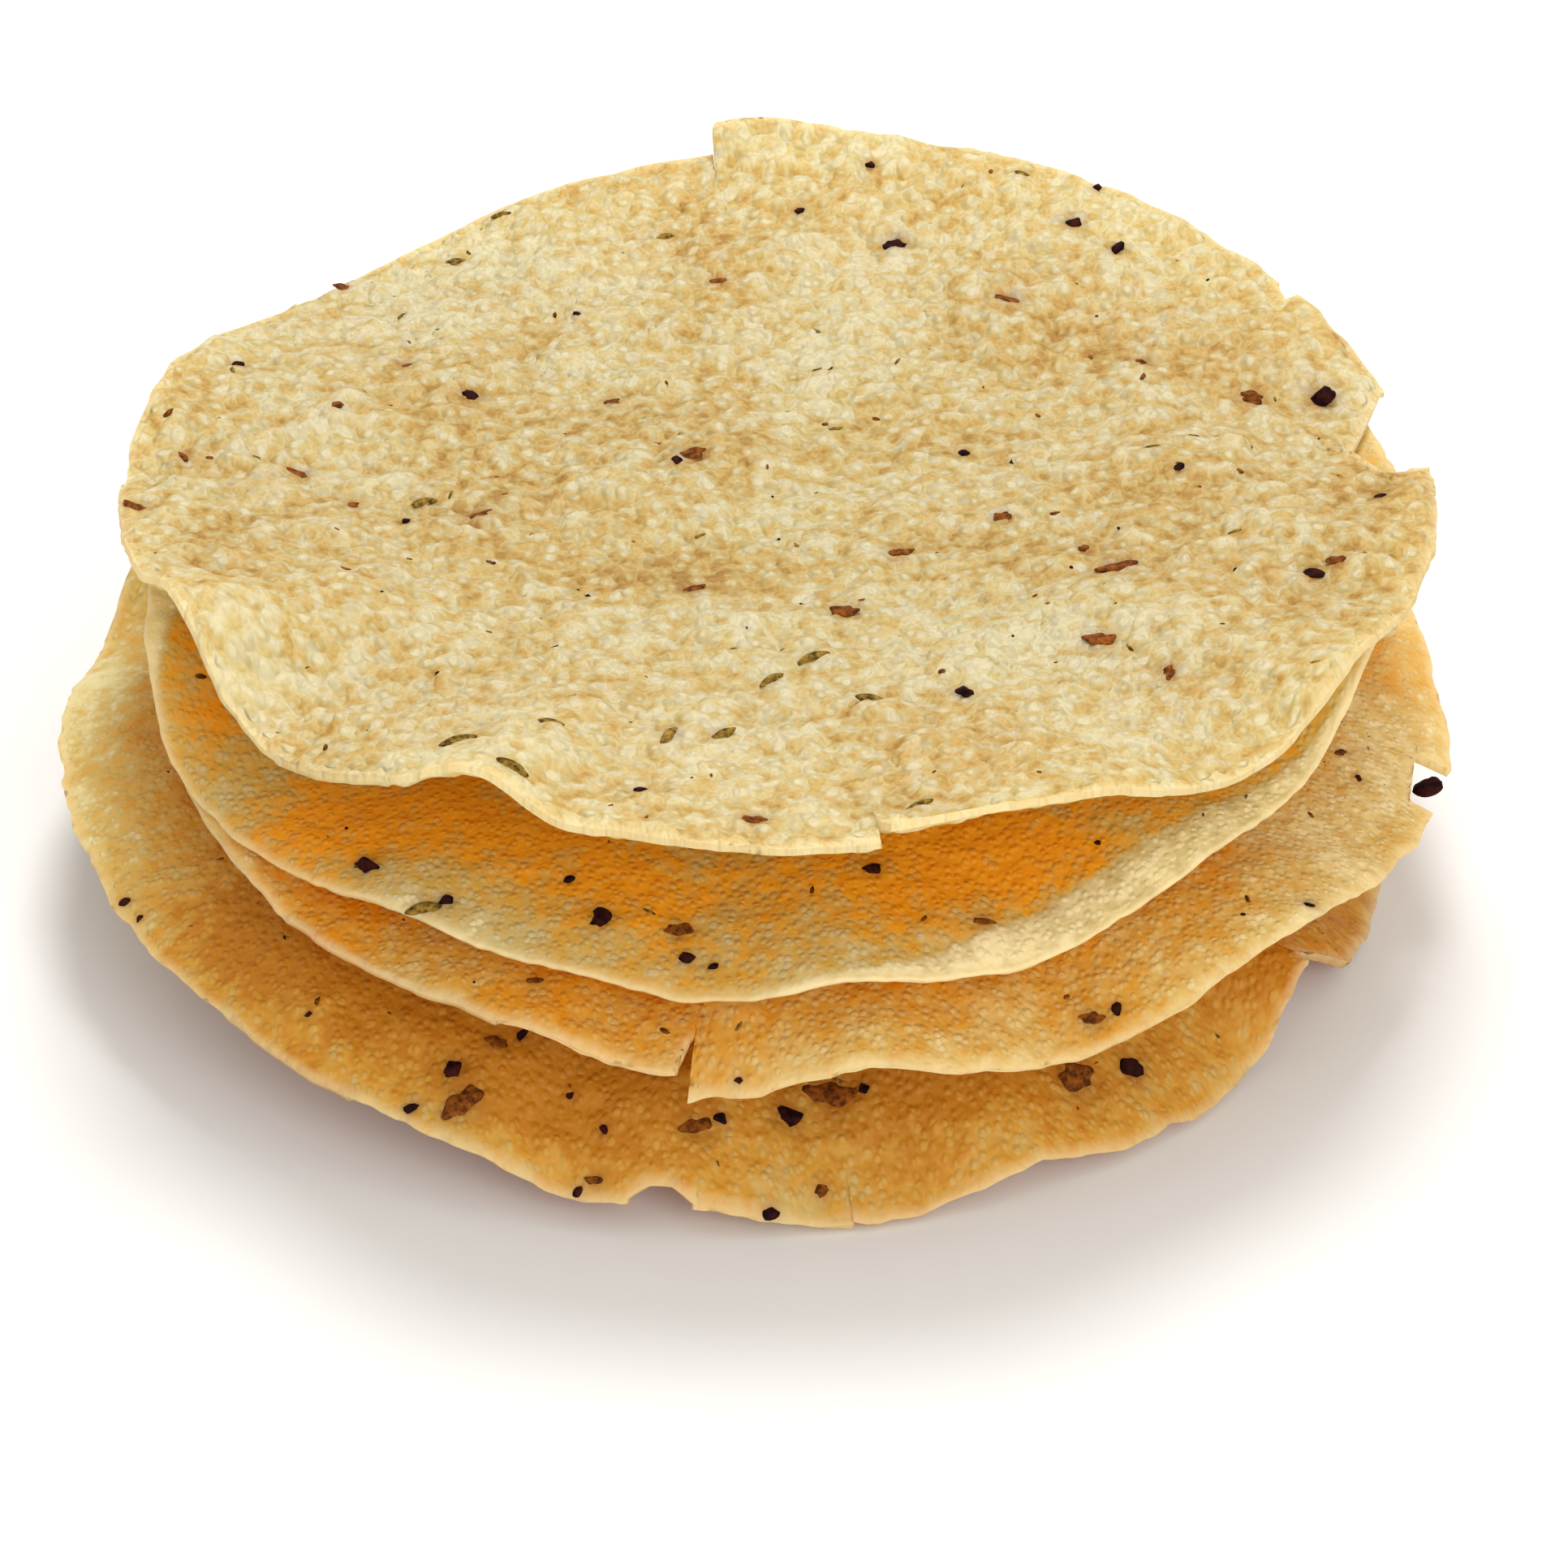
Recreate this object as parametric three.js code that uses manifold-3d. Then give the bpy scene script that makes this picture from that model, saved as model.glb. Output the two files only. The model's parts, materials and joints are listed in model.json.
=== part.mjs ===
// A stack of four fried papadums: thin, crisp, spiced discs with ruffled, chipped rims, lying
// on one another as they were dropped. Millimetres, +Z up, the table at z = 0. The front of
// the stack faces -Y, and angles run anticlockwise from +X, in degrees.

import * as THREE from 'three';
import { mergeVertices } from 'three/addons/utils/BufferGeometryUtils.js';
import Module from 'manifold-3d';

const wasm = await Module();
wasm.setup();

// Driving dimensions of every papadum.
const THICKNESS = 1.3;
const SECTORS = 64;
const RINGS = [0.16, 0.32, 0.47, 0.61, 0.73, 0.83, 0.92, 1];
const RUFFLE_START = 0.45;
const RUFFLE_POWER = 1.6;
const TEAR_POWER = 1.4;
const BITE_START = 0.8;
const SPLIT_HALF_WIDTH = 0.12;

// Spices that show from a step away: length, width and height of each kind, and how much of
// the height stands out of the dough.
const PEPPER = { size: [3.2, 2.6, 1.9], proud: 0.3 };
const CUMIN = { size: [5.2, 1.5, 1.3], proud: 0.25 };
const CHILLI = { size: [3.8, 2.6, 1.0], proud: 0.2 };
const HEADROOM = 2.4;
const SEED_SPACING = 7;
const RIM_MARGIN = 3;
const COVERED_SHARE = 1.05;
const SLOPE_STEP = 1;
const FLAKE_TOP = 0.8;
const FLAKE_SIDES = 6;
const GOLDEN_ANGLE = 137.508;

// The plan position, in the coordinates of the papadums below, that goes over the origin.
const OUTLINE_MIDDLE = [-0.2, 2.7];

// Each papadum is a disc that runs from the height of its middle to the height of its rim.
// Where two of them look as if they touch, they keep a gap of 0.3 to 0.5 mm.
// tilt is [height, direction] and saddle is the height of a two-sided bend along X.
// waves ruffle the rim and reaches let it out: [angle, half width, height or length].
// lips rise at a tear, from a share of the way out, and fade over a signed span:
// [angle, span, height, length, share].
// cuts take a bite off the rim: [from, to, depth at from, depth at to].
// blisters are domes or hollows: [x, y, radius, height].
// spices are the bits that catch the eye: [kind, x, y, turn, scale].
const TOP = {
  name: 'papadum_top',
  colour: 0xe3cf98,
  centre: [3, 4],
  radius: 84.2,
  oval: -0.8,
  middle: 50,
  rim: 54,
  power: 2.2,
  tilt: [0, 0],
  saddle: 0,
  waves: [
    [-162, 12, 2.5], [-150, 12, 7.5], [-136, 16, -5], [-115, 9, 5], [-88, 14, -1], [-68, 14, 1.6],
    [-50, 15, -4], [-33, 12, 2.4], [12, 22, -3.6], [72, 48, 5.6], [135, 27, -5], [164, 10, 1.5],
    [178, 9, -2],
  ],
  reaches: [],
  lips: [[-82.2, 22, 2.4, 0, 0.91], [96, -22, 4.4, 1.2, 0.9]],
  cuts: [
    [3.4, 8.5, 6.2, 8.8], [8.5, 18.3, 8.8, 0.3], [34, 36.5, 2, 0.5], [-82.2, -81.6, 3, 1.5],
  ],
  blisters: [
    [-9, 10, 14, 2.2], [13, -6, 10, 1.2], [55, 10, 9, 2], [66, -10, 9, 1.8], [68, 38, 9, 1.5],
    [47, -24, 10, 1.6], [-40, 42, 12, 1.2], [-48, -36, 12, 1.3],
  ],
  spices: [
    [PEPPER, -37, 29, 20, 0.9], [PEPPER, 19, 66, 0, 1.1], [CUMIN, 43, 68, 35, 0.8],
    [PEPPER, 49, 61, 60, 0.9], [PEPPER, 72, 27, 5, 1.3], [PEPPER, -9, 11, 20, 1.4],
    [PEPPER, 25, -46, 80, 0.9], [CHILLI, 34, 51, 10, 1.1], [CHILLI, 11, -25, 0, 1.1],
    [CHILLI, 45, -16, 0, 1.2], [CHILLI, 69, -20, 30, 1.4], [CHILLI, 42, -33, 15, 1.2],
    [CHILLI, 50, -40, 70, 1], [CUMIN, 7, -37, 20, 1], [CUMIN, -4, -55, 30, 0.9],
    [CUMIN, -10, -55, 60, 1], [CHILLI, -35, -2, 0, 1], [CHILLI, -58, 8, 0, 1],
    [CUMIN, -42, 1, 10, 0.8], [CUMIN, 14, -48, -15, 0.9],
  ],
  scattered: 26,
};

const SECOND = {
  name: 'papadum_second',
  colour: 0xd2a04a,
  centre: [0, 0],
  radius: 82,
  oval: 0,
  middle: 43.5,
  rim: 45,
  power: 2.3,
  tilt: [6, 90],
  saddle: 4,
  waves: [
    [-143, 27, -5.8], [90, 60, -7], [134, 22, -0.6], [-112, 14, -0.8], [-95, 14, -2.8],
    [-66, 20, -3.6], [-38, 11, -1.6], [-24, 10, 8], [12, 26, -1], [173, 16, 1.1],
    [-163, 20, 3.4],
  ],
  reaches: [[15, 30, 2], [-24, 14, 1], [-178, 30, -7]],
  lips: [],
  cuts: [],
  blisters: [[-22, 42, 20, -4]],
  spices: [
    [CUMIN, -46, -62, -10, 0.9], [PEPPER, -18, -71, 30, 1.1], [CUMIN, -37, -69, 25, 1.1],
    [CHILLI, -9, -72, 0, 1.1], [CHILLI, 14, -63, 10, 1],
  ],
  scattered: 14,
};

const THIRD = {
  name: 'papadum_third',
  colour: 0xd6a855,
  centre: [4, 0],
  radius: 84.6,
  oval: 0,
  middle: 36,
  rim: 29,
  power: 2.4,
  tilt: [8, 135],
  saddle: 0,
  waves: [
    [-154, 20, 6.8], [150, 26, -7], [90, 60, -12], [-116, 14, 0.8], [-103, 8, -1.4], [-82, 9, 2],
    [-66, 9, -0.8], [-44, 23, 6], [-8, 18, -2],
  ],
  reaches: [[-8, 12, 1.2], [180, 34, -5]],
  lips: [[-98.1, 12, -4.6, 0, 0.87]],
  cuts: [[-99, -98.1, 0.5, 6], [-16.5, -9.5, 3, 4.5]],
  blisters: [
    [6, -6, 20, 6.4], [40, -24, 18, -4.5], [-38, -26, 18, -2.2], [-22, 42, 20, 3.4],
    [28, 44, 18, -5.4],
  ],
  spices: [
    [CHILLI, -26, -72, 0, 0.7], [PEPPER, 66, -52, 0, 0.7], [CHILLI, 41, -70, 20, 1],
    [PEPPER, 81, -13, 10, 1.4],
  ],
  scattered: 14,
};

const BOTTOM = {
  name: 'papadum_bottom',
  colour: 0xcf9a4a,
  centre: [-4, 0],
  radius: 85,
  oval: 0.6,
  middle: 30,
  rim: 8.5,
  power: 2.4,
  tilt: [9, 180],
  saddle: 4,
  waves: [
    [-150, 16, -1.5], [-103, 10, -2.6], [-80, 16, -3], [-64, 11, 2.2], [-44, 9, -1.2],
    [-8, 20, -2.8], [168, 15, -4], [153, 12, 10.5], [120, 36, -11], [80, 25, -2.5],
  ],
  reaches: [[-36, 12, -0.6]],
  lips: [[-31, -10, 9, 0, 0.78], [-31, 12, 3, 0, 0.78]],
  cuts: [[-97.6, -96, 0.3, 1.5], [-96, -94, 1.5, 1.5], [-94, -92.2, 1.5, 0.2], [-31, -22, 7, 0]],
  blisters: [[40, -24, 18, 5.2], [-38, -26, 18, 3.8], [28, 44, 18, 6.5]],
  spices: [
    [PEPPER, 4, -73, 20, 1.3], [CHILLI, 9, -70, 10, 1.8], [PEPPER, 46, -60, 20, 1.3],
    [CHILLI, 39, -64, 10, 1.4], [PEPPER, -36, -70, 30, 1.1], [CHILLI, -34, -73, 50, 1.5],
    [CHILLI, -30, -66, 0, 1.1], [PEPPER, -18, -75, 80, 0.9],
  ],
  scattered: 14,
};

const SHEETS = [TOP, SECOND, THIRD, BOTTOM];

const radians = THREE.MathUtils.degToRad;
const clamp = THREE.MathUtils.clamp;

// The smallest turn from one angle to another, between -180 and 180.
function turnBetween(from, to) {
  return THREE.MathUtils.euclideanModulo(to - from + 180, 360) - 180;
}

// A smooth hump round an angle, 1 in its middle and 0 past its half width.
function hump(angle, at, halfWidth) {
  const turn = turnBetween(at, angle);
  return Math.abs(turn) < halfWidth ? 0.5 + 0.5 * Math.cos(Math.PI * turn / halfWidth) : 0;
}

// Half a hump that starts at a tear, 1 there, and fades to 0 at the end of its span.
function fade(angle, at, span) {
  const part = turnBetween(at, angle) / span;
  return part >= 0 && part < 1 ? 0.5 + 0.5 * Math.cos(Math.PI * part) : 0;
}

// The depth of a bite in the rim, straight from its first depth to its last.
function bite(angle, [from, to, first, last]) {
  const part = turnBetween(from, angle) / (to - from);
  return part >= 0 && part <= 1 ? first + (last - first) * part : 0;
}

// How far the whole rim, before any bite, is from the middle in one direction.
function wholeRadius(sheet, angle) {
  let radius = sheet.radius + sheet.oval * Math.cos(2 * radians(angle));
  for (const [at, halfWidth, length] of sheet.reaches) {
    radius += length * hump(angle, at, halfWidth);
  }
  for (const [at, span, , length] of sheet.lips) {
    radius += length * fade(angle, at, span);
  }
  return radius;
}

function biteDepth(sheet, angle) {
  return sheet.cuts.reduce((depth, cut) => depth + bite(angle, cut), 0);
}

// The distance from the middle on one ring of the mesh. A bite pulls in the outer rings alone.
function ringDistance(sheet, ring, angle) {
  const pulled = clamp((ring - BITE_START) / (1 - BITE_START), 0, 1);
  return ring * wholeRadius(sheet, angle) - pulled * biteDepth(sheet, angle);
}

// The height of the sheet's mid surface, at a share of the way from its middle to its rim.
function heightAt(sheet, share, angle) {
  const [lean, leanTo] = sheet.tilt;
  const rim = sheet.rim + lean * Math.cos(radians(angle - leanTo))
    + sheet.saddle * Math.cos(2 * radians(angle));
  let height = sheet.middle + (rim - sheet.middle) * share ** sheet.power;

  const ruffle = clamp((share - RUFFLE_START) / (1 - RUFFLE_START), 0, 1) ** RUFFLE_POWER;
  for (const [at, halfWidth, lift] of sheet.waves) {
    height += lift * hump(angle, at, halfWidth) * ruffle;
  }

  for (const [at, span, lift, , start] of sheet.lips) {
    const torn = clamp((share - start) / (1 - start), 0, 1) ** TEAR_POWER;
    height += lift * fade(angle, at, span) * torn;
  }

  const [x, y] = placeAt(sheet, share * wholeRadius(sheet, angle), angle);
  for (const [blisterX, blisterY, radius, lift] of sheet.blisters) {
    height += lift * Math.exp(-((x - blisterX) ** 2 + (y - blisterY) ** 2) / radius ** 2);
  }
  return Math.max(height, THICKNESS / 2);
}

// The plan position of a point at a distance from a sheet's middle.
function placeAt(sheet, distance, angle) {
  return [
    sheet.centre[0] + distance * Math.cos(radians(angle)),
    sheet.centre[1] + distance * Math.sin(radians(angle)),
  ];
}

// The share and angle of a plan position on a sheet.
function polarOf(sheet, x, y) {
  const dx = x - sheet.centre[0];
  const dy = y - sheet.centre[1];
  const angle = THREE.MathUtils.radToDeg(Math.atan2(dy, dx));
  return [Math.hypot(dx, dy) / wholeRadius(sheet, angle), angle];
}

function heightOver(sheet, x, y) {
  return heightAt(sheet, ...polarOf(sheet, x, y));
}

// Even sectors, with a pair of close ones wherever the rim is torn or cut.
function sectorAngles(sheet) {
  const splits = [];
  for (const [at] of sheet.lips) {
    splits.push(at);
  }
  for (const [from, to] of sheet.cuts) {
    splits.push(from, to);
  }
  const angles = [];
  for (const split of splits) {
    for (const side of [-SPLIT_HALF_WIDTH, SPLIT_HALF_WIDTH]) {
      const angle = split + side;
      if (angles.every((other) => Math.abs(turnBetween(other, angle)) > SPLIT_HALF_WIDTH)) {
        angles.push(angle);
      }
    }
  }
  const step = 360 / SECTORS;
  for (let i = 0; i < SECTORS; i += 1) {
    const angle = -180 + i * step;
    if (splits.every((split) => Math.abs(turnBetween(split, angle)) > step / 3)) {
      angles.push(angle);
    }
  }
  return angles.sort((a, b) => a - b);
}

// A thin closed sheet: the same fan and rings of triangles above and below, and a rim wall.
function sheetGeometry(sheet) {
  const angles = sectorAngles(sheet);
  const count = angles.length;
  const positions = [];
  const indices = [];
  const half = THICKNESS / 2;
  for (const offset of [half, -half]) {
    positions.push(...sheet.centre, heightAt(sheet, 0, 0) + offset);
    for (const ring of RINGS) {
      for (const angle of angles) {
        const distance = ringDistance(sheet, ring, angle);
        const share = distance / wholeRadius(sheet, angle);
        positions.push(...placeAt(sheet, distance, angle), heightAt(sheet, share, angle) + offset);
      }
    }
  }

  const lower = 1 + RINGS.length * count;
  const corner = (ring, sector) => 1 + ring * count + (sector % count);
  const addPair = (a, b, c) => {
    indices.push(a, b, c);
    indices.push(lower + a, lower + c, lower + b);
  };
  for (let i = 0; i < count; i += 1) {
    addPair(0, corner(0, i), corner(0, i + 1));
    for (let ring = 1; ring < RINGS.length; ring += 1) {
      addPair(corner(ring - 1, i), corner(ring, i), corner(ring, i + 1));
      addPair(corner(ring - 1, i), corner(ring, i + 1), corner(ring - 1, i + 1));
    }
    const here = corner(RINGS.length - 1, i);
    const next = corner(RINGS.length - 1, i + 1);
    indices.push(here, lower + here, lower + next);
    indices.push(here, lower + next, next);
  }

  const geometry = new THREE.BufferGeometry();
  geometry.setAttribute('position', new THREE.Float32BufferAttribute(positions, 3));
  geometry.setIndex(indices);
  return geometry;
}

function toSolid(geometry) {
  const bare = geometry.clone();
  bare.deleteAttribute('normal');
  bare.deleteAttribute('uv');
  const merged = mergeVertices(bare, 1e-4);
  return new wasm.Manifold(new wasm.Mesh({
    numProp: 3,
    vertProperties: new Float32Array(merged.attributes.position.array),
    triVerts: new Uint32Array(merged.index.array),
  }));
}

function toGeometry(solid) {
  const mesh = solid.getMesh();
  const geometry = new THREE.BufferGeometry();
  geometry.setAttribute('position', new THREE.BufferAttribute(mesh.vertProperties, 3));
  geometry.setIndex(new THREE.BufferAttribute(mesh.triVerts, 1));
  geometry.computeVertexNormals();
  return geometry;
}

// A small generator of repeatable random numbers between 0 and 1.
function randomFrom(seed) {
  let state = seed;
  return () => {
    state = (state * 1664525 + 1013904223) % 4294967296;
    return state / 4294967296;
  };
}

// The largest bits are placed where they show. The rest follow a sunflower spiral, so that they
// are spread evenly, each shifted a little and given its kind by the random draw.
function spicesOf(sheet, above, seed) {
  const random = randomFrom(seed);
  const spices = [...sheet.spices];
  for (let i = 0; i < sheet.scattered; i += 1) {
    const share = Math.sqrt((i + 0.5) / sheet.scattered);
    const angle = i * GOLDEN_ANGLE + 30 * random();
    const kindDraw = random();
    const turn = 180 * random();
    const scale = 0.6 + 0.35 * random();
    const kind = [PEPPER, CUMIN, CHILLI][Math.floor(3 * kindDraw)];
    const [x, y] = placeAt(sheet, share * wholeRadius(sheet, angle), angle);
    const free = spices.every(([, otherX, otherY]) => {
      return Math.hypot(x - otherX, y - otherY) > SEED_SPACING;
    });
    if (free) {
      spices.push([kind, x, y, turn, scale]);
    }
  }
  return spices.filter(([, x, y]) => hasRoom(sheet, above, x, y));
}

// A bit needs dough round it, and must stay clear of the papadum above.
function hasRoom(sheet, above, x, y) {
  const [share, angle] = polarOf(sheet, x, y);
  if (share * wholeRadius(sheet, angle) > ringDistance(sheet, 1, angle) - RIM_MARGIN) {
    return false;
  }
  if (!above || polarOf(above, x, y)[0] > COVERED_SHARE) {
    return true;
  }
  return heightOver(above, x, y) - heightOver(sheet, x, y) - THICKNESS > HEADROOM;
}

// One bit of spice, turned, laid along the slope of the dough and sunk into it.
function spiceSolid(sheet, [kind, x, y, turn, scale]) {
  const [length, width, height] = kind.size.map((value) => value * scale / 2);
  const rise = (dx, dy) => {
    return (heightOver(sheet, x + dx, y + dy) - heightOver(sheet, x - dx, y - dy)) / 2;
  };
  const up = new THREE.Vector3(0, 0, 1);
  const normal = new THREE.Vector3(-rise(SLOPE_STEP, 0), -rise(0, SLOPE_STEP), SLOPE_STEP);
  const geometry = kind === CHILLI
    ? new THREE.CylinderGeometry(FLAKE_TOP, 1, 2 * FLAKE_TOP, FLAKE_SIDES).rotateX(Math.PI / 2)
    : new THREE.IcosahedronGeometry(1, 0);
  geometry.scale(length, width, height);
  geometry.rotateZ(radians(turn));
  geometry.applyQuaternion(new THREE.Quaternion().setFromUnitVectors(up, normal.normalize()));
  const sunk = THICKNESS / 2 - height * (1 - 2 * kind.proud);
  geometry.translate(x, y, heightOver(sheet, x, y) + Math.max(sunk, height - THICKNESS / 2));
  return toSolid(geometry);
}

function makePapadum(sheet, index) {
  let solid = toSolid(sheetGeometry(sheet));
  for (const spice of spicesOf(sheet, SHEETS[index - 1], 11 + index)) {
    solid = solid.add(spiceSolid(sheet, spice));
  }
  const material = new THREE.MeshStandardMaterial({
    name: sheet.name,
    color: sheet.colour,
    roughness: 0.75,
    metalness: 0,
  });
  const mesh = new THREE.Mesh(toGeometry(solid), material);
  mesh.name = sheet.name;
  mesh.position.set(-OUTLINE_MIDDLE[0], -OUTLINE_MIDDLE[1], 0);
  return mesh;
}

const stack = new THREE.Group();
stack.name = 'papadum_stack';
SHEETS.forEach((sheet, index) => stack.add(makePapadum(sheet, index)));

export default stack;
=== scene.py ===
# A stack of four fried papadums on a pale floor: thin, crisp, spiced discs with ruffled,
# chipped rims. Shapes are worked out in millimetres and turned to metres at the end.

import json
import math
import random

import bmesh
import bpy
import numpy as np
from bpy.props import FloatProperty, FloatVectorProperty, IntProperty, PointerProperty
from mathutils import Matrix, Vector, noise
from mathutils.bvhtree import BVHTree

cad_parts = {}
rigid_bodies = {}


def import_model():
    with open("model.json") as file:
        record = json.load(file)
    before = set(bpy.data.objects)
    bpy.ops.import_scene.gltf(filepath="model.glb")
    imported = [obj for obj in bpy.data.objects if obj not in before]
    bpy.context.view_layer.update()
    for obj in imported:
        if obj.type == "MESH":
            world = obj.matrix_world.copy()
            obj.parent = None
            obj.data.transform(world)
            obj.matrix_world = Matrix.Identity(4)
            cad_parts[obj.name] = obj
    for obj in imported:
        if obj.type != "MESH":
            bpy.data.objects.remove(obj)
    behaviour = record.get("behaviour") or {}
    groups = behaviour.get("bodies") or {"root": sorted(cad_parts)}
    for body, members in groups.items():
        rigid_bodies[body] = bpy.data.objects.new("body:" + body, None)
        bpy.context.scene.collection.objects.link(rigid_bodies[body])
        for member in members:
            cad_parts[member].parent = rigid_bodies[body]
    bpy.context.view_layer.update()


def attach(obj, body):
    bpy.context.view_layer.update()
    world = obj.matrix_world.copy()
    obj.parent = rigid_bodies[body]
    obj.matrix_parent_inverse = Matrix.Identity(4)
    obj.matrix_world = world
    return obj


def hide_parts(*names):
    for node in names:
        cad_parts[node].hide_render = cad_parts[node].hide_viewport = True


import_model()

bl_info = {
    "name": "Stack of papadums",
    "version": (1, 0, 0),
    "blender": (4, 5, 0),
    "location": "View3D > Sidebar > Papadums",
    "description": "Builds a stack of fried, spiced papadums on a pale studio floor",
    "category": "Add Mesh",
}

MM = 0.001
BODY = "root"

# The plan position, in the coordinates of the papadums below, that is over the frame's origin.
OUTLINE_MIDDLE = (-0.2, 2.7)

# How ruffles and tears grow towards the rim, as shares of the way from the middle.
RUFFLE_START = 0.45
RUFFLE_POWER = 1.6
TEAR_POWER = 1.4

# The rings of the grid crowd towards the rim with this power.
RING_POWER = 0.75
# Two sizes of raggedness along the rim: (width in degrees, depth in millimetres).
RAGGEDNESS = [(3.1, 0.35), (1.1, 0.16)]

# The rim is thinned from below and rounded at both edges, by these shares of the thickness. It is
# told from the sheet over a width in millimetres, which is looked for over this many cells.
RIM_THINNING = 0.35
RIM_ROUNDING = 0.3
RIM_WIDTH = 1.5
RIM_CELLS = 6
BEYOND_RIM = 9.0

# A bite is cut from this share of the way out.
BITE_START = 0.84
# A vertex is on a tear within this many degrees, and reads its height this far beside it. The
# sides of a tear reach this far from it, up to this share of the way out.
ON_TEAR = 0.02
BESIDE_TEAR = 0.03
TEAR_SIDE = 0.3
TEAR_SIDE_END = 0.99
# The cut for a tear starts this much before it opens, and opens this much after.
TEAR_CUT_BEFORE = 0.02
TEAR_OPENS_AFTER = 0.005

# Large, middle and small blisters: the share of places that have one, the height of each size as a
# share of the height of a large one, and how much paler each makes the dough, which is partly the
# dough's own colour and partly painted shade in the hollows round it.
BLISTER_FILL = (0.35, 0.55, 0.9)
BLISTER_HEIGHT = (1.0, 0.7, 0.55)
BLISTER_PALE_AND_SHADE = (0.3, 0.6, 0.7)
# How far and how slowly blisters wander off a square grid, in millimetres.
WANDER = 1.2
WANDER_WIDTH = 4.0
# The gentle rolling of the dough: (width, height) in millimetres.
ROLLING = [(11.0, 0.35), (5.5, 0.2)]
# The blisters of the underside, as a share of those of the upper one, and how fast blisters grow
# from nothing at the rim.
UNDER_BLISTERS = 0.6
RIM_FLATNESS = 1.15

# How much each of these adds to the tone of the dough: blisters, the painted shade under the papadum
# above, patches that are baked or stand for painted light and shade, and bands of painted light along
# the rim.
BROWN_BLISTERED = -0.3
BROWN_PAINTED_SHADE = 0.7
BROWN_BAKED_AND_PAINTED_LIGHT = 0.35
BROWN_PAINTED_LIGHT = -0.5
# The painted shade under the papadum above: its share right under the rim, and the millimetres over
# which it grows from nothing to full.
COVER_AT_RIM = 0.32
COVER_WIDTH = 25
# Millimetres over which a band of painted light ends.
PAINTED_LIGHT_EDGE = 1.2

# Each papadum is a disc that runs from the height of its middle to the height of its rim.
# tilt is (height, direction) and saddle is the height of a two-sided bend along X.
# waves ruffle the rim and reaches let it out: (angle, half width, height or length).
# lips rise at a tear, from a share of the way out, and fade over a signed span:
# (angle, span, height, length, share).
# cuts take a bite off the rim: (from, to, depth at from, depth at to).
# blisters are domes or hollows: (x, y, radius, height).
# blistered scales the small blisters, and the browning setting is how brown the whole papadum is;
# painted shade and painted light are added to it.
# The patches are browner, or paler if negative; on the lower papadums some of them are painted shade
# and some painted light: (x, y, along, across, turn, amount).
# The pale bands are painted light along the rim, where light reaches past the papadum above: (angle,
# half width, width in millimetres).
TOP = dict(
    node="papadum_top",
    blistered=1.35,
    browning_and_painted_light=-0.74,
    slot="pale_fried_dough",
    centre=(3, 4), radius=84.2, oval=-0.8, middle=50, rim=54, power=2.2, tilt=(0, 0), saddle=0,
    waves=[
        (-162, 12, 2.5), (-150, 12, 7.5), (-136, 16, -5), (-115, 9, 5), (-88, 14, -1),
        (-68, 14, 1.6), (-50, 15, -4), (-33, 12, 2.4), (12, 22, -3.6), (72, 48, 5.6),
        (135, 27, -5), (164, 10, 1.5), (178, 9, -2),
    ],
    reaches=[],
    lips=[(-82.2, 22, 2.4, 0, 0.91), (96, -22, 4.4, 1.2, 0.9)],
    cuts=[(3.4, 8.5, 6.2, 8.8), (8.5, 18.3, 8.8, 0.3), (34, 36.5, 2, 0.5), (-82.2, -81.6, 3, 1.5)],
    blisters=[
        (-9, 10, 14, 2.2), (13, -6, 10, 1.2), (55, 10, 9, 2), (66, -10, 9, 1.8),
        (68, 38, 9, 1.5), (47, -24, 10, 1.6), (-40, 42, 12, 1.2), (-48, -36, 12, 1.3),
    ],
    baked_and_painted_light_patches=[
        (-9, -15, 15, 5, 8, 1.0), (-26, 5, 13, 6, -25, 0.7), (54, 1, 13, 8, -10, 0.9),
        (44, -12, 11, 6, 10, 0.9), (65, 38, 18, 8, -30, -0.2), (72, -17, 9, 8, 0, 0.4),
        (79, -4, 7, 18, 0, 0.9), (16, 76, 14, 7, -10, 0.6),
        (34, 36, 14, 9, 0, 0.5), (15, 15, 15, 7, 0, 0.5), (-12, 24, 14, 9, 0, 0.3),
        (-57, 17, 12, 7, 20, 0.4), (-40, 22, 8, 6, 0, 0.5), (-49, 50, 12, 9, 0, -0.9),
        (-71, 27, 9, 12, 0, 0.35), (-30, -62, 26, 10, -20, -0.5), (5, -40, 26, 12, 0, -0.3),
        (-30, 60, 20, 10, 30, -0.3),
    ],
)
SECOND = dict(
    node="papadum_second",
    blistered=0.55,
    browning_and_painted_light=-0.54,
    slot="golden_fried_dough",
    centre=(0, 0), radius=82, oval=0, middle=43.5, rim=45, power=2.3, tilt=(6, 90), saddle=4,
    waves=[
        (-143, 27, -5.8), (90, 60, -7), (134, 22, -0.6), (-112, 14, -0.8), (-95, 14, -2.8),
        (-66, 20, -3.6), (-38, 11, -1.6), (-24, 10, 8), (12, 26, -1), (173, 16, 1.1),
        (-163, 20, 3.4),
    ],
    reaches=[(15, 30, 2), (-24, 14, 1), (-178, 30, -7)],
    lips=[],
    cuts=[],
    blisters=[(-22, 42, 20, -4)],
    # The browner patches at the front left are partly painted shade under the top papadum.
    baked_and_painted_light_patches=[
        (-36, -57, 14, 8, -20, 0.6), (-57, -54, 10, 10, 0, 1.0), (-68, -36, 8, 12, 0, 0.9),
        (40, -60, 12, 8, 20, 0.4),
    ],
    # The pale bands are painted light, where light reaches the rim past the top papadum.
    pale=[(-56, 40, 7.5), (184, 28, 7)],
)
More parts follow.
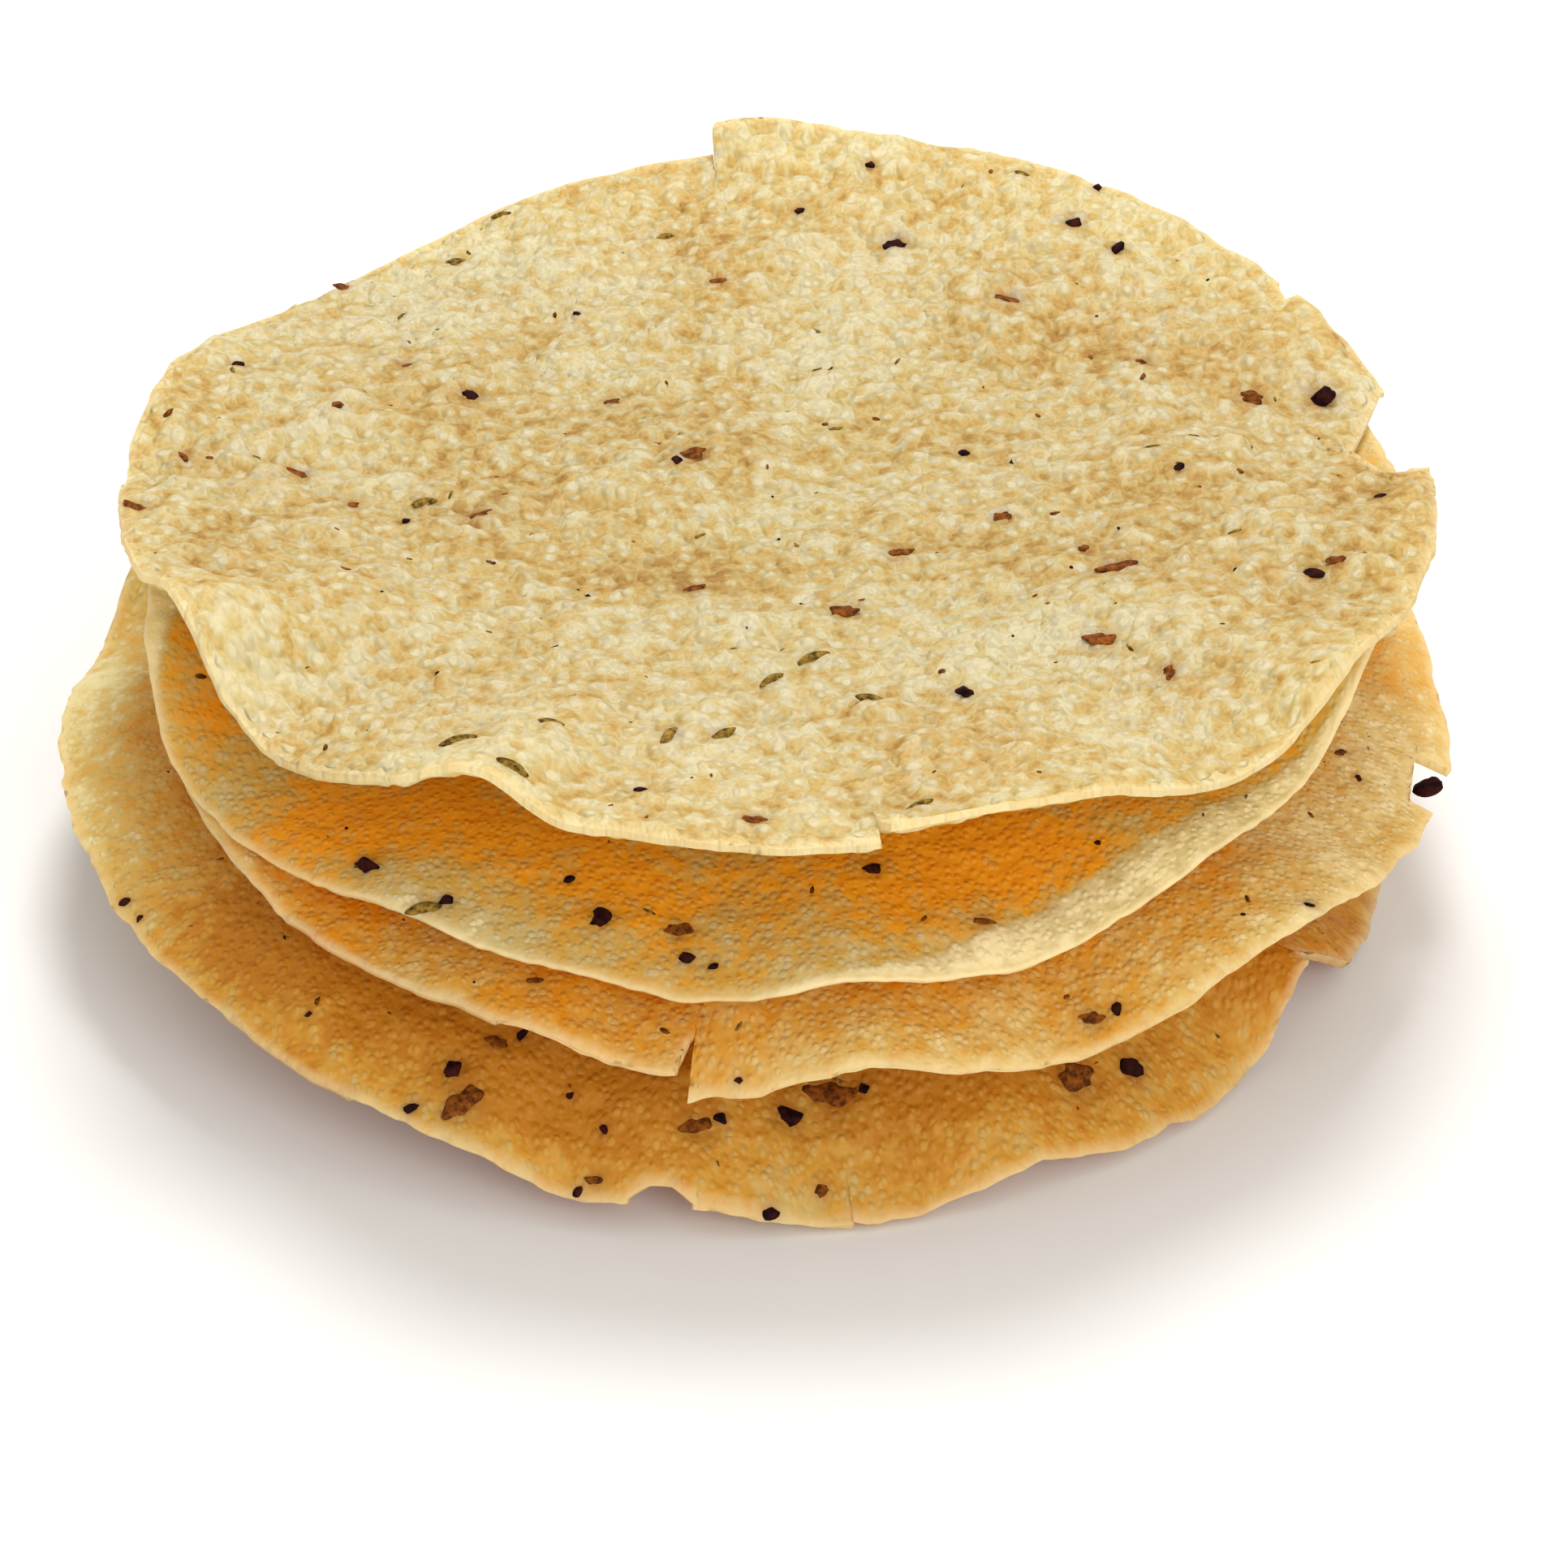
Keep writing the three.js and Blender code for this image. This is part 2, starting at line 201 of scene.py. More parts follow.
THIRD = dict(
    node="papadum_third",
    blistered=0.6,
    browning_and_painted_light=-0.54,
    slot="tan_fried_dough",
    centre=(4, 0), radius=84.6, oval=0, middle=36, rim=29, power=2.4, tilt=(8, 135), saddle=0,
    waves=[
        (-154, 20, 6.8), (150, 26, -7), (90, 60, -12), (-116, 14, 0.8), (-103, 8, -1.4),
        (-82, 9, 2), (-66, 9, -0.8), (-44, 23, 6), (-8, 18, -2),
    ],
    reaches=[(-8, 12, 1.2), (180, 34, -5)],
    lips=[(-98.1, 12, -4.6, 0, 0.87)],
    cuts=[(-99, -98.1, 0.5, 6), (-16.5, -9.5, 3, 4.5)],
    blisters=[
        (6, -6, 20, 6.4), (40, -24, 18, -4.5), (-38, -26, 18, -2.2), (-22, 42, 20, 3.4),
        (28, 44, 18, -5.4),
    ],
    # The browner patches at the front left are painted shade under the second papadum, and the paler
    # ones at the right painted light where this one reaches out.
    baked_and_painted_light_patches=[
        (-31, -76, 9, 6, -10, 1.2), (-21, -82, 5, 4, 0, 0.5), (-50, -64, 8, 6, -40, 0.5),
        (67, -35, 12, 12, 0, -1.3), (81, -18, 10, 16, 0, -0.9), (45, -70, 12, 5, 30, 0.4),
    ],
)
BOTTOM = dict(
    node="papadum_bottom",
    blistered=0.65,
    browning_and_painted_light=-0.41,
    slot="amber_fried_dough",
    centre=(-4, 0), radius=85, oval=0.6, middle=30, rim=8.5, power=2.4, tilt=(9, 180), saddle=4,
    waves=[
        (-150, 16, -1.5), (-103, 10, -2.6), (-80, 16, -3), (-64, 11, 2.2), (-44, 9, -1.2),
        (-8, 20, -2.8), (168, 15, -4), (153, 12, 10.5), (120, 36, -11), (80, 25, -2.5),
    ],
    reaches=[(-36, 12, -0.6)],
    lips=[(-31, -10, 9, 0, 0.78), (-31, 12, 3, 0, 0.78), (-79.2, 7, 0.8, 0, 0.93)],
    cuts=[(-97.6, -96, 0.3, 1.5), (-96, -94, 1.5, 1.5), (-94, -92.2, 1.5, 0.2), (-31, -22, 7, 0)],
    blisters=[(40, -24, 18, 5.2), (-38, -26, 18, 3.8), (28, 44, 18, 6.5)],
    # Besides browner dough, these patches paint shade at the front left and light at the far left,
    # beyond the third papadum.
    baked_and_painted_light_patches=[
        (-60, -49, 10, 9, -40, 2.0), (-28, -71, 12, 7, -10, 1.9), (0, -78, 10, 6, 0, -0.6),
        (-43, -62, 8, 8, -30, 0.9), (-89, 10, 8, 26, 0, -0.7), (57, -54, 9, 9, 0, -0.7),
        (36, -75, 12, 5, 25, -0.4), (62, -42, 6, 6, 0, 0.8),
    ],
)
SHEETS = [TOP, SECOND, THIRD, BOTTOM]

# The spices that catch the eye on each papadum: (kind, x, y, turn, length in millimetres).
SPICES = {
    "papadum_top": [
        ("pepper", -37, 29, 20, 2.9), ("pepper", 19, 66, 0, 3.4), ("pepper", 43, 68, 35, 3.2),
        ("pepper", 49, 61, 60, 2.6), ("pepper", 74, 28, 5, 4.4), ("pepper", 79, -1, 40, 2.0),
        ("cumin", -12, 70, 30, 3.4), ("pepper", 6, 74, 0, 1.8), ("pepper", 16, 82, 20, 1.8),
        ("cumin", 37, 78, 10, 3.0), ("pepper", 47, 75, 70, 1.8), ("pepper", -68, 34, 30, 2.0),
        ("chilli", -8, 12, 10, 3.8), ("pepper", -10, 10, 60, 2.0), ("pepper", 54, 6, 20, 1.8),
        ("cumin", 51, 12, 15, 2.8), ("pepper", 27, 15, 0, 1.8), ("chilli", 51, 36, 40, 2.2),
        ("pepper", 25, -46, 80, 2.9), ("pepper", -44, -3, 70, 1.6), ("chilli", 34, 51, 10, 3.4),
        ("chilli", -73, 11, 0, 2.4), ("chilli", -58, 8, 0, 3.2), ("chilli", -54, 21, 20, 2.0),
        ("chilli", -46, 36, 0, 2.6), ("chilli", -19, 28, 0, 2.4), ("chilli", -35, -2, 0, 3.6),
        ("chilli", -51, 0, 30, 2.2), ("chilli", 65, 28, 0, 3.4), ("chilli", 31, -2, 15, 2.6),
        ("chilli", 18, -11, 0, 3.2), ("chilli", 45, -16, 5, 4.6), ("chilli", 41, -11, 60, 2.2),
        ("pepper", 69, -20, 30, 3.2), ("chilli", 72, -18, 0, 2.4), ("chilli", 11, -25, 0, 3.6),
        ("chilli", -8, -19, 20, 3.2), ("chilli", 42, -33, 15, 3.8), ("chilli", 50, -40, 70, 2.8),
        ("chilli", -5, 59, 0, 2.0), ("cumin", -42, 1, 12, 3.8), ("cumin", 7, -37, 20, 4.6),
        ("cumin", 14, -48, -15, 4.2), ("cumin", -10, -55, 62, 4.6), ("cumin", -4, -55, 32, 4.2),
        ("cumin", 2, -42, 28, 3.4), ("cumin", -35, -59, 10, 4.8), ("cumin", -28, -71, -18, 4.4),
        ("cumin", -24, -57, 6, 3.4), ("pepper", -13, -69, 0, 2.4), ("chilli", 0, -75, 0, 3.0),
        ("cumin", 19, -73, 5, 3.6), ("cumin", -41, 68, 10, 3.6), ("chilli", -56, 62, 0, 2.6),
        ("cumin", -35, 77, 15, 3.0), ("chilli", -78, -4, 0, 3.0), ("pepper", -24, 50, 0, 1.6),
    ],
    "papadum_second": [
        ("pepper", -46, -62, -10, 3.6), ("cumin", -39, -70.5, 8, 4.6), ("pepper", -36.4, -69, 35, 2.4),
        ("pepper", -22, -65, 20, 1.6), ("pepper", -18, -71, 30, 3.6), ("chilli", -9, -72, 0, 3.2),
        ("pepper", -8, -76, 10, 2.2), ("pepper", -5, -77, 40, 1.8), ("pepper", 14, -63, 10, 2.8),
        ("chilli", -16, -57, 0, 1.6), ("chilli", 27, -70, 5, 2.4), ("chilli", 47, -67, 40, 1.8),
    ],
    "papadum_third": [
        ("chilli", -26, -72, 0, 1.8), ("chilli", 40, -72, 20, 3.4), ("pepper", 43, -71, 60, 2.2),
        ("pepper", 67, -54, 0, 2.2), ("pepper", -2, -83, 0, 1.3), ("chilli", 74, -18, 30, 2.0),
        ("pepper", 76, -22, 70, 1.4),
    ],
    "papadum_bottom": [
        ("pepper", -78, -40, 30, 1.8), ("pepper", -76, -43, 60, 1.4), ("pepper", -54, -62, 0, 1.4),
        ("pepper", -49, -72, 0, 2.2), ("pepper", -41, -74, 20, 2.4), ("pepper", -36, -70, 30, 3.4),
        ("chilli", -35, -74, 50, 5.0), ("chilli", -31, -67, 0, 2.6), ("pepper", -28, -66, 40, 2.0),
        ("pepper", -18, -76, 80, 1.6), ("pepper", -22, -72, 0, 1.4), ("chilli", -19, -81, 0, 2.2),
        ("pepper", -21, -82, 30, 1.8), ("chilli", -7, -76, 20, 3.6), ("pepper", -4, -75, 0, 2.2),
        ("pepper", 4, -73, 20, 4.2), ("chilli", 9, -70, 10, 5.6), ("pepper", 13, -69, 70, 2.2),
        ("chilli", 39, -64, 10, 5.2), ("pepper", 46, -60, 20, 4.0), ("pepper", 2, -83.5, 20, 2.4),
        ("chilli", 8, -80, 40, 2.2),
    ],
}
# A dark peppercorn stands in the notch of the third papadum's rim: its place and its size.
NOTCH_PEPPER = (85.3, -19.0, 22.0)
NOTCH_PEPPER_SIZE = (4.0, 3.0, 2.6)


class DoughSettings(bpy.types.PropertyGroup):
    """Sizes of the fried dough and of its blisters."""

    thickness: FloatProperty(
        name="Thickness", description="Thickness of the dough, in millimetres", default=1.3,
        min=0.5, max=3,
    )
    segments: IntProperty(
        name="Segments", description="Cells across each papadum", default=206, min=16, max=214
    )
    large_blister: FloatProperty(
        name="Large blisters", default=8.6,
        description="Spacing of the large blisters, in millimetres; the middle ones have half of it",
    )
    small_blister: FloatProperty(
        name="Small blisters", description="Spacing of the small blisters, in millimetres", default=2.5
    )
    blister_height: FloatProperty(
        name="Blister height", description="Height of a large blister, in millimetres", default=0.85
    )


class SpiceSettings(bpy.types.PropertyGroup):
    """Sizes and number of the spices."""

    crumbs: IntProperty(
        name="Crumbs", description="Fine bits of spice drawn for each papadum", default=110, min=0,
        max=600,
    )
    smallest_crumb: FloatProperty(
        name="Smallest crumb", description="Length of the finest bits, in millimetres", default=0.6
    )
    largest_crumb: FloatProperty(
        name="Largest crumb", default=1.7,
        description="Length of the coarsest of the fine bits, in millimetres",
    )


class StageSettings(bpy.types.PropertyGroup):
    """Camera and light."""

    elevation: FloatProperty(
        name="Elevation", description="How far the camera looks down, in degrees", default=32.0
    )
    distance: FloatProperty(
        name="Distance", description="From the camera to the stack", default=0.75,
        subtype="DISTANCE", unit="LENGTH",
    )
    sky: FloatProperty(name="Sky", description="Strength of the white surroundings", default=0.92)
    key: FloatProperty(name="Key light", description="Power of the light behind, in watts", default=9.5)
    fill: FloatProperty(
        name="Fill light", description="Power of the soft light in front, in watts", default=7.5
    )
    floor_colour: FloatVectorProperty(
        name="Floor", description="Colour of the floor", subtype="COLOR",
        default=(0.69, 0.68, 0.655),
    )


def linear(colour):
    """A colour written as a hex string, as linear red, green, blue and alpha."""
    values = [int(colour[i:i + 2], 16) / 255 for i in (1, 3, 5)]
    return [v / 12.92 if v <= 0.04045 else ((v + 0.055) / 1.055) ** 2.4 for v in values] + [1.0]


def add_node(tree, kind, settings=None, **inputs):
    """Adds a node with its settings. Each input is a value, or another node's output to link. It is
    named as the socket is, or by the socket's place, such as _0."""
    node = tree.nodes.new(kind)
    for name, value in (settings or {}).items():
        setattr(node, name, value)
    for name, value in inputs.items():
        place = int(name[1:]) if name[1:].isdigit() else name.replace("_", " ")
        socket = node.inputs[place]
        if isinstance(value, bpy.types.NodeSocket):
            tree.links.new(value, socket)
        else:
            socket.default_value = value
    return node


def new_material(name):
    material = bpy.data.materials.new(name)
    material.use_nodes = True
    material.node_tree.nodes.clear()
    return material, material.node_tree


def turn_between(start, angle):
    """The smallest turn from one angle to another, between -180 and 180 degrees."""
    return (angle - start + 180) % 360 - 180


def hump(angle, at, half_width):
    turn = turn_between(at, angle)
    return np.where(np.abs(turn) < half_width, 0.5 + 0.5 * np.cos(np.pi * turn / half_width), 0)


def fade(angle, at, span):
    part = turn_between(at, angle) / span
    return np.where((part >= 0) & (part < 1), 0.5 + 0.5 * np.cos(np.pi * part), 0)


def whole_radius(sheet, angle):
    """How far the whole rim, before any bite, is from the middle in one direction."""
    radius = sheet["radius"] + sheet["oval"] * np.cos(2 * np.radians(angle))
    for at, half_width, length in sheet["reaches"]:
        radius = radius + length * hump(angle, at, half_width)
    for at, span, _, length, _ in sheet["lips"]:
        radius = radius + length * fade(angle, at, span)
    return radius


def polar_of(sheet, x, y):
    """Share of the way to the rim, and angle, of a plan position."""
    dx = x - sheet["centre"][0]
    dy = y - sheet["centre"][1]
    angle = np.degrees(np.arctan2(dy, dx))
    return np.hypot(dx, dy) / whole_radius(sheet, angle), angle


def height_at(sheet, x, y, share, angle):
    """Height of the middle of the dough."""
    lean, lean_to = sheet["tilt"]
    rim = sheet["rim"] + lean * np.cos(np.radians(angle - lean_to))
    rim = rim + sheet["saddle"] * np.cos(2 * np.radians(angle))
    height = sheet["middle"] + (rim - sheet["middle"]) * share ** sheet["power"]
    ruffle = np.clip((share - RUFFLE_START) / (1 - RUFFLE_START), 0, 1) ** RUFFLE_POWER
    for at, half_width, lift in sheet["waves"]:
        height = height + lift * hump(angle, at, half_width) * ruffle
    for at, span, lift, _, start in sheet["lips"]:
        torn = np.clip((share - start) / (1 - start), 0, 1) ** TEAR_POWER
        height = height + lift * fade(angle, at, span) * torn
    for blister_x, blister_y, radius, lift in sheet["blisters"]:
        height = height + lift * np.exp(-((x - blister_x) ** 2 + (y - blister_y) ** 2) / radius ** 2)
    return height


def smooth_noise(x, y, size, seed):
    """Smooth random hills between -1 and 1, one to each square of that size."""
    table = np.random.RandomState(seed).uniform(-1, 1, (64, 64))
    u = x / size + 1000.0
    v = y / size + 1000.0
    i = np.floor(u).astype(int)
    j = np.floor(v).astype(int)
    fu = u - i
    fv = v - j
    fu = fu * fu * (3 - 2 * fu)
    fv = fv * fv * (3 - 2 * fv)
    low = table[i % 64, j % 64] * (1 - fu) + table[(i + 1) % 64, j % 64] * fu
    high = table[i % 64, (j + 1) % 64] * (1 - fu) + table[(i + 1) % 64, (j + 1) % 64] * fu
    return low * (1 - fv) + high * fv


def blister_field(x, y, spacing, seed, fill):
    """Rounded blisters between 0 and 1, one to a square of that spacing, each of its own size."""
    tables = np.random.RandomState(seed).uniform(0, 1, (5, 64, 64))
    u = x / spacing + 1000.0
    v = y / spacing + 1000.0
    result = np.zeros_like(x, dtype=float)
    for step_i in (-1, 0, 1):
        for step_j in (-1, 0, 1):
            i = np.floor(u).astype(int) + step_i
            j = np.floor(v).astype(int) + step_j
            jitter_u, jitter_v, width, lift, there = tables[:, i % 64, j % 64]
            radius = 0.32 + 0.42 * width
            du = u - i - 0.15 - 0.7 * jitter_u
            dv = v - j - 0.15 - 0.7 * jitter_v
            dome = np.clip(1 - (du * du + dv * dv) / radius ** 2, 0, 1) ** 0.8
            result = np.maximum(result, dome * (0.35 + 0.65 * lift) * (there < fill))
    return result


def dough_relief(x, y, seed, dough):
    """The blisters: height over the smooth dough in millimetres, and how domed each place is."""
    wander_x = x + WANDER * smooth_noise(x, y, WANDER_WIDTH, seed + 1)
    wander_y = y + WANDER * smooth_noise(x, y, WANDER_WIDTH, seed + 2)
    spacings = (dough.large_blister, 0.5 * dough.large_blister, dough.small_blister)
    fields = [
        blister_field(wander_x, wander_y, spacing, seed + 3 + k, fill)
        for k, (spacing, fill) in enumerate(zip(spacings, BLISTER_FILL))
    ]
    rolling = sum(
        height * smooth_noise(x, y, width, seed + 6 + k)
        for k, (width, height) in enumerate(ROLLING)
    )
    raised = sum(share * field for share, field in zip(BLISTER_HEIGHT, fields))
    domed = sum(share * field for share, field in zip(BLISTER_PALE_AND_SHADE, fields))
    return rolling + dough.blister_height * raised, np.clip(domed, 0, 1)


def set_plan(bm, sheet, seed):
    """Lays the square grid out as a disc whose rings end at the rim."""
    u = np.array([v.co.x for v in bm.verts])
    v = np.array([v.co.y for v in bm.verts])
    ring = np.maximum(np.abs(u), np.abs(v))
    angle = np.where(
        np.abs(u) >= np.abs(v),
        45 * v / np.where(u == 0, 1, u) + np.where(u < 0, 180, 0),
        90 - 45 * u / np.where(v == 0, 1, v) + np.where(v < 0, 180, 0),
    )
    angle = turn_between(0, angle)
    ragged = sum(
        depth * smooth_noise(angle, angle * 0, width, seed + 20 + k)
        for k, (width, depth) in enumerate(RAGGEDNESS)
    )
    share = ring ** RING_POWER
    distance = share * (whole_radius(sheet, angle) + ragged)
    x = sheet["centre"][0] + distance * np.cos(np.radians(angle))
    y = sheet["centre"][1] + distance * np.sin(np.radians(angle))
    for vert, px, py in zip(bm.verts, x, y):
        vert.co = (px, py, 0)


def near_faces(bm, sheet, start, end, from_share):
    """The faces in a sector of the rim, with their edges and corners."""
    centre = Vector((*sheet["centre"], 0))
    faces = []
    for face in bm.faces:
        middle = face.calc_center_median() - centre
        angle = math.degrees(math.atan2(middle.y, middle.x))
        far = middle.length > from_share * sheet["radius"]
        if far and turn_between(start - 2, angle) >= 0 and turn_between(angle, end + 2) >= 0:
            faces.append(face)
    edges = {edge for face in faces for edge in face.edges}
    verts = {vert for face in faces for vert in face.verts}
    return [*verts, *edges, *faces]


def rim_point(sheet, angle, depth):
    distance = float(whole_radius(sheet, angle)) - depth
    turned = math.radians(angle)
    return Vector((
        sheet["centre"][0] + distance * math.cos(turned),
        sheet["centre"][1] + distance * math.sin(turned),
        0,
    ))


def cut_bites(bm, sheet):
    """Cuts each bite along its two sides and its bottom, and takes the piece out."""
    centre = Vector((*sheet["centre"], 0))
    for start, end, first, last in sheet["cuts"]:
        corners = [rim_point(sheet, start, first), rim_point(sheet, end, last)]
        across = corners[1] - corners[0]
        sides = [(corner, corner - centre) for corner in corners]
        for point, along in [*sides, (corners[0], across)]:
            geometry = near_faces(bm, sheet, start, end, BITE_START)
            normal = Vector((-along.y, along.x, 0))
            bmesh.ops.bisect_plane(bm, geom=geometry, dist=1e-4, plane_co=point, plane_no=normal)
        inside = []
        for face in bm.faces:
            middle = face.calc_center_median()
            spoke = middle - centre
            angle = math.degrees(math.atan2(spoke.y, spoke.x))
            in_sector = turn_between(start, angle) > 0 and turn_between(angle, end) > 0
            if in_sector and across.cross(middle - corners[0]).z < 0:
                inside.append(face)
        bmesh.ops.delete(bm, geom=inside, context="FACES")
    drop_scraps(bm, centre)


def drop_scraps(bm, centre):
    """Takes out what the cuts parted from the sheet."""
    front = [min(bm.faces, key=lambda face: (face.calc_center_median() - centre).length)]
    sheet_faces = set(front)
    while front:
        for edge in front.pop().edges:
            for face in edge.link_faces:
                if face not in sheet_faces:
                    sheet_faces.add(face)
                    front.append(face)
    scraps = [face for face in bm.faces if face not in sheet_faces]
    bmesh.ops.delete(bm, geom=scraps, context="FACES")


def split_tears(bm, sheet):
    """Opens the dough along each tear, from the rim inwards."""
    centre = Vector((*sheet["centre"], 0))
    for at, start in sorted({(lip[0], lip[4]) for lip in sheet["lips"]}):
        along = rim_point(sheet, at, 0) - centre
        geometry = near_faces(bm, sheet, at, at, start - TEAR_CUT_BEFORE)
        normal = Vector((-along.y, along.x, 0)).normalized()
        cut = bmesh.ops.bisect_plane(
            bm, geom=geometry, dist=1e-4, plane_co=centre, plane_no=normal
        )
        edges = []
        for edge in cut["geom_cut"]:
            if isinstance(edge, bmesh.types.BMEdge) and len(edge.link_faces) == 2:
                inner = min((vert.co - centre).length for vert in edge.verts)
                if inner > (start + TEAR_OPENS_AFTER) * sheet["radius"]:
                    edges.append(edge)
        bmesh.ops.split_edges(bm, edges=edges)


def tear_sides(bm, sheet, angle):
    """The angles at which the two sides of a tear read their heights, just off the tear."""
    result = angle.copy()
    centre = Vector((*sheet["centre"], 0))
    bm.verts.ensure_lookup_table()
    for at, *_ in sheet["lips"]:
        for index in np.nonzero(np.abs(turn_between(at, angle)) < ON_TEAR)[0]:
            turn = 0.0
            for face in bm.verts[index].link_faces:
                middle = face.calc_center_median() - centre
                turn += turn_between(at, math.degrees(math.atan2(middle.y, middle.x)))
            result[index] = at + math.copysign(BESIDE_TEAR, turn)
    return result


def plan_arrays(bm):
    x = np.array([v.co.x for v in bm.verts])
    y = np.array([v.co.y for v in bm.verts])
    return x, y


def thicken(bm, thickness):
    """Gives the sheet its thickness and rounds both edges of its rim."""
    bm.normal_update()
    count = len(bm.verts)
    bmesh.ops.solidify(bm, geom=bm.faces[:], thickness=thickness)
    bmesh.ops.translate(bm, vec=(0, 0, thickness / 2), verts=bm.verts[:])
    bm.verts.ensure_lookup_table()
    bm.verts.index_update()
    side = bm.verts.layers.float.new("side")
    for vert in bm.verts:
        vert[side] = 1.0 if vert.index < count else -1.0
    edges = set()
    for face in bm.faces:
        upper = {vert.index < count for vert in face.verts}
        if len(upper) == 2:
            for edge in face.edges:
                if (edge.verts[0].index < count) == (edge.verts[1].index < count):
                    edges.add(edge)
    bmesh.ops.bevel(
        bm, geom=list(edges), offset=RIM_ROUNDING * thickness, offset_type="OFFSET", segments=2,
        profile=0.5, affect="EDGES", clamp_overlap=True, material=-1,
    )
    return side


def painted_shade_from_above(above, x, y):
    """Painted shade: how much the papadum above shades a point, from 0 outside its rim to 1 well
    inside.
    """
    if above is None:
        return np.zeros_like(x)
    share, angle = polar_of(above, x, y)
    inside = (1 - share) * whole_radius(above, angle)
    return np.clip(COVER_AT_RIM + inside / COVER_WIDTH, 0, 1)


def painted_light_bands_of(sheet, share, angle):
    """Painted light: the bands along the rim that the light reaches past the papadum above, 1 in a band
    and 0 inside it.
    """
    pale = np.zeros_like(share)
    for at, half_width, width in sheet.get("pale", []):
        wide = width * hump(angle, at, half_width)
        inside = (1 - share) * sheet["radius"]
        pale = np.maximum(pale, np.clip((wide - inside) / PAINTED_LIGHT_EDGE, 0, 1))
    return pale


def baked_and_painted_light_of(sheet, x, y):
    """The patches that are browner or paler: baked ones, and on the lower papadums painted shade and
    painted light.
    """
    baked_and_painted_light_patches = np.zeros_like(x)
    for patch_x, patch_y, along, across, turn, amount in sheet["baked_and_painted_light_patches"]:
        dx = x - patch_x
        dy = y - patch_y
        c = math.cos(math.radians(turn))
        s = math.sin(math.radians(turn))
        far = ((dx * c + dy * s) / along) ** 2 + ((dy * c - dx * s) / across) ** 2
        baked_and_painted_light_patches = baked_and_painted_light_patches + amount * np.exp(-far)
    return baked_and_painted_light_patches


def rim_distance(bm, outer):
    """Distance of each vertex from the nearest outer edge of the sheet, up to a few cells in."""
    distance = {}
    front = [vert for vert, out in zip(bm.verts, outer) if vert.is_boundary and out]
    for vert in front:
        distance[vert] = 0.0
    for _ in range(RIM_CELLS):
        following = []
        for vert in front:
            for edge in vert.link_edges:
                other = edge.other_vert(vert)
                reach = distance[vert] + edge.calc_length()
                if reach < distance.get(other, BEYOND_RIM):
                    distance[other] = reach
                    following.append(other)
        front = following
    return np.array([distance.get(vert, BEYOND_RIM) for vert in bm.verts])


def write_layer(bm, name, values):
    layer = bm.verts.layers.float.new(name)
    for vert, value in zip(bm.verts, values):
        vert[layer] = float(value)


def build_dough(index, dough):
    """One papadum as a closed mesh, in millimetres."""
    sheet = SHEETS[index]
    above = SHEETS[index - 1] if index else None
    seed = 100 * (index + 1)
    bm = bmesh.new()
    bmesh.ops.create_grid(bm, x_segments=dough.segments, y_segments=dough.segments, size=1)
    set_plan(bm, sheet, seed)
    cut_bites(bm, sheet)
    split_tears(bm, sheet)

    x, y = plan_arrays(bm)
    share, angle = polar_of(sheet, x, y)
    torn = np.zeros_like(x, dtype=bool)
    for at, *_ in sheet["lips"]:
        beside = np.abs(turn_between(at, angle)) < TEAR_SIDE
        torn = torn | (beside & (share < TEAR_SIDE_END))
    edge_distance = rim_distance(bm, ~torn)
    angle = tear_sides(bm, sheet, angle)
    height = height_at(sheet, x, y, share, angle)
    height = np.maximum(height, dough.thickness / 2)
    for vert, level in zip(bm.verts, height):
        vert.co.z = level
    write_layer(bm, "rim", np.clip(1 - edge_distance / RIM_WIDTH, 0, 1))

    side = thicken(bm, dough.thickness)
    bm.verts.ensure_lookup_table()
    x, y = plan_arrays(bm)
    sides = np.array([v[side] for v in bm.verts])
    rim_layer = bm.verts.layers.float["rim"]
    rim = np.array([v[rim_layer] for v in bm.verts])
    relief, domed = dough_relief(x, y, seed, dough)
    under, domed_under = dough_relief(x, y, seed + 50, dough)
    relief = relief * sheet["blistered"]
    flat = np.clip(RIM_FLATNESS - rim * RIM_FLATNESS, 0, 1)
    thinned = RIM_THINNING * dough.thickness * rim
    lift = np.where(sides > 0, relief * flat, thinned - under * UNDER_BLISTERS * flat)
    for vert, rise in zip(bm.verts, lift):
        vert.co.z = max(vert.co.z + rise, 0.0)
    share, angle = polar_of(sheet, x, y)
    # The tone adds painted shade and painted light to the browning: shade under the papadum above,
    # light on some patches and on bands of the rim.
    browning_and_painted_light = sheet["browning_and_painted_light"]
    browning_and_painted_light = browning_and_painted_light + BROWN_BLISTERED * sheet["blistered"] * np.where(sides > 0, domed, domed_under)
    # Painted shade under the papadum above.
    browning_and_painted_light = browning_and_painted_light + BROWN_PAINTED_SHADE * painted_shade_from_above(above, x, y)
    # Baked patches, with painted shade and painted light among them.
    browning_and_painted_light = browning_and_painted_light + BROWN_BAKED_AND_PAINTED_LIGHT * baked_and_painted_light_of(sheet, x, y)
    # Painted light on bands of the rim.
    browning_and_painted_light = browning_and_painted_light + BROWN_PAINTED_LIGHT * painted_light_bands_of(sheet, share, angle)
    write_layer(bm, "browning_and_painted_light", browning_and_painted_light)
    write_layer(bm, "stain", stain_of(SPICES[sheet["node"]], x, y))
    bm.verts.layers.float.remove(side)
    return bm


def stain_of(spices, x, y):
    """The rusty halo that fried spice leaves in the dough round it."""
    stain = np.zeros_like(x)
    for kind, spice_x, spice_y, _, length in spices:
        halo, strength = SPICE_KINDS[kind]["halo"]
        near = np.exp(-((x - spice_x) ** 2 + (y - spice_y) ** 2) / (length * halo) ** 2)
        stain = np.maximum(stain, near * strength)
    return stain


